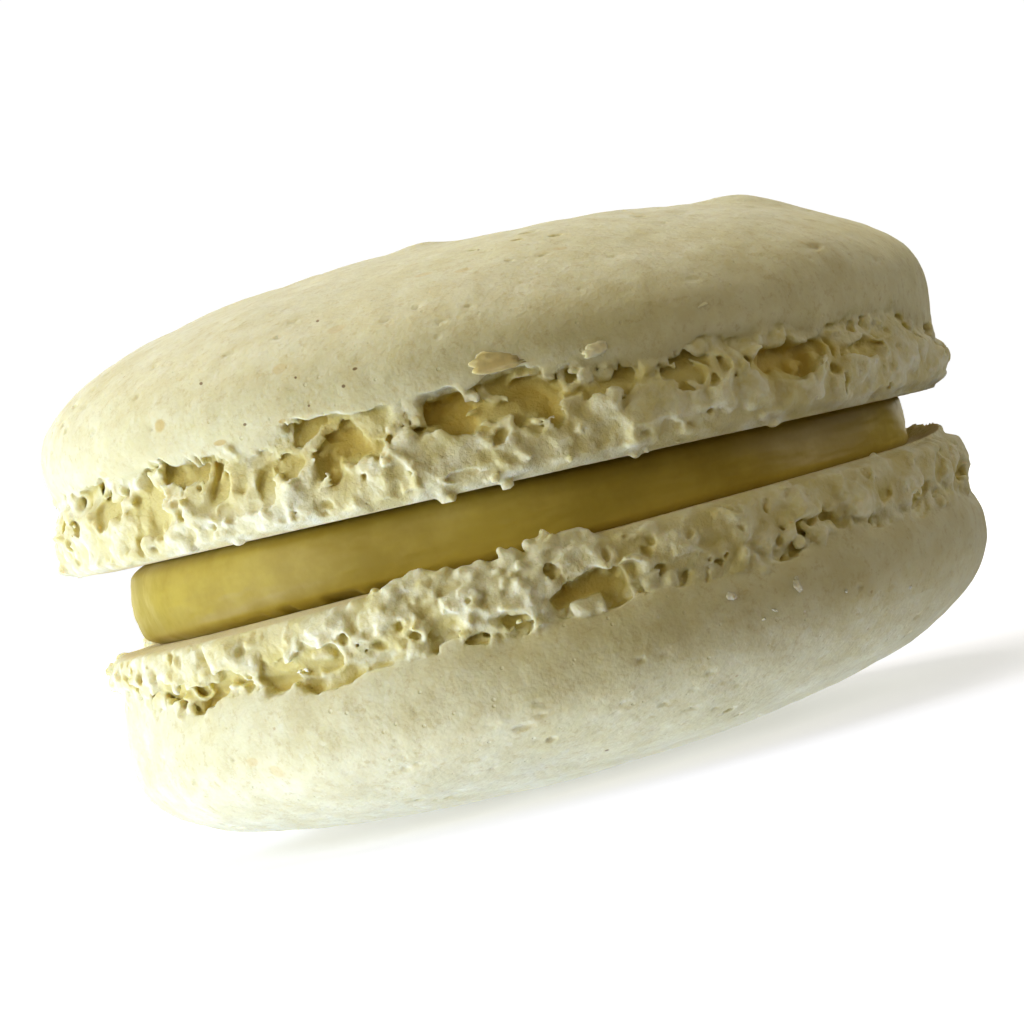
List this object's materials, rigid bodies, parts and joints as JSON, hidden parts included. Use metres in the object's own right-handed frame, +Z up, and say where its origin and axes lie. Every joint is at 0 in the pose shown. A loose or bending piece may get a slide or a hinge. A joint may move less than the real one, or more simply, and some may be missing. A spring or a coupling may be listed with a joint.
{
  "type": "french macaron",
  "caption": "Round sandwich biscuit: domed almond shells with ruffled, torn feet, joined face to face by a wedge-shaped disc of vanilla cream; it rests on its lower dome.",
  "frame": {"origin": "bottom centre of the bounding box, on the surface that the lower dome rests on", "axes": "+Z up through the stack, along its shortest extent; -Y is the front; the cream is thickest at -X and thinnest at +X"},
  "size_m": [0.0455, 0.0453, 0.027],
  "materials": {
    "shell": "dry matte baked almond meringue: smooth skin on the dome, crumbly torn foot below it",
    "cream": "smooth soft vanilla cream with a faint satin shine"
  },
  "bodies": {
    "root": {"lower_shell": "shell", "filling": "cream", "upper_shell": "shell"}
  },
  "joints": []
}
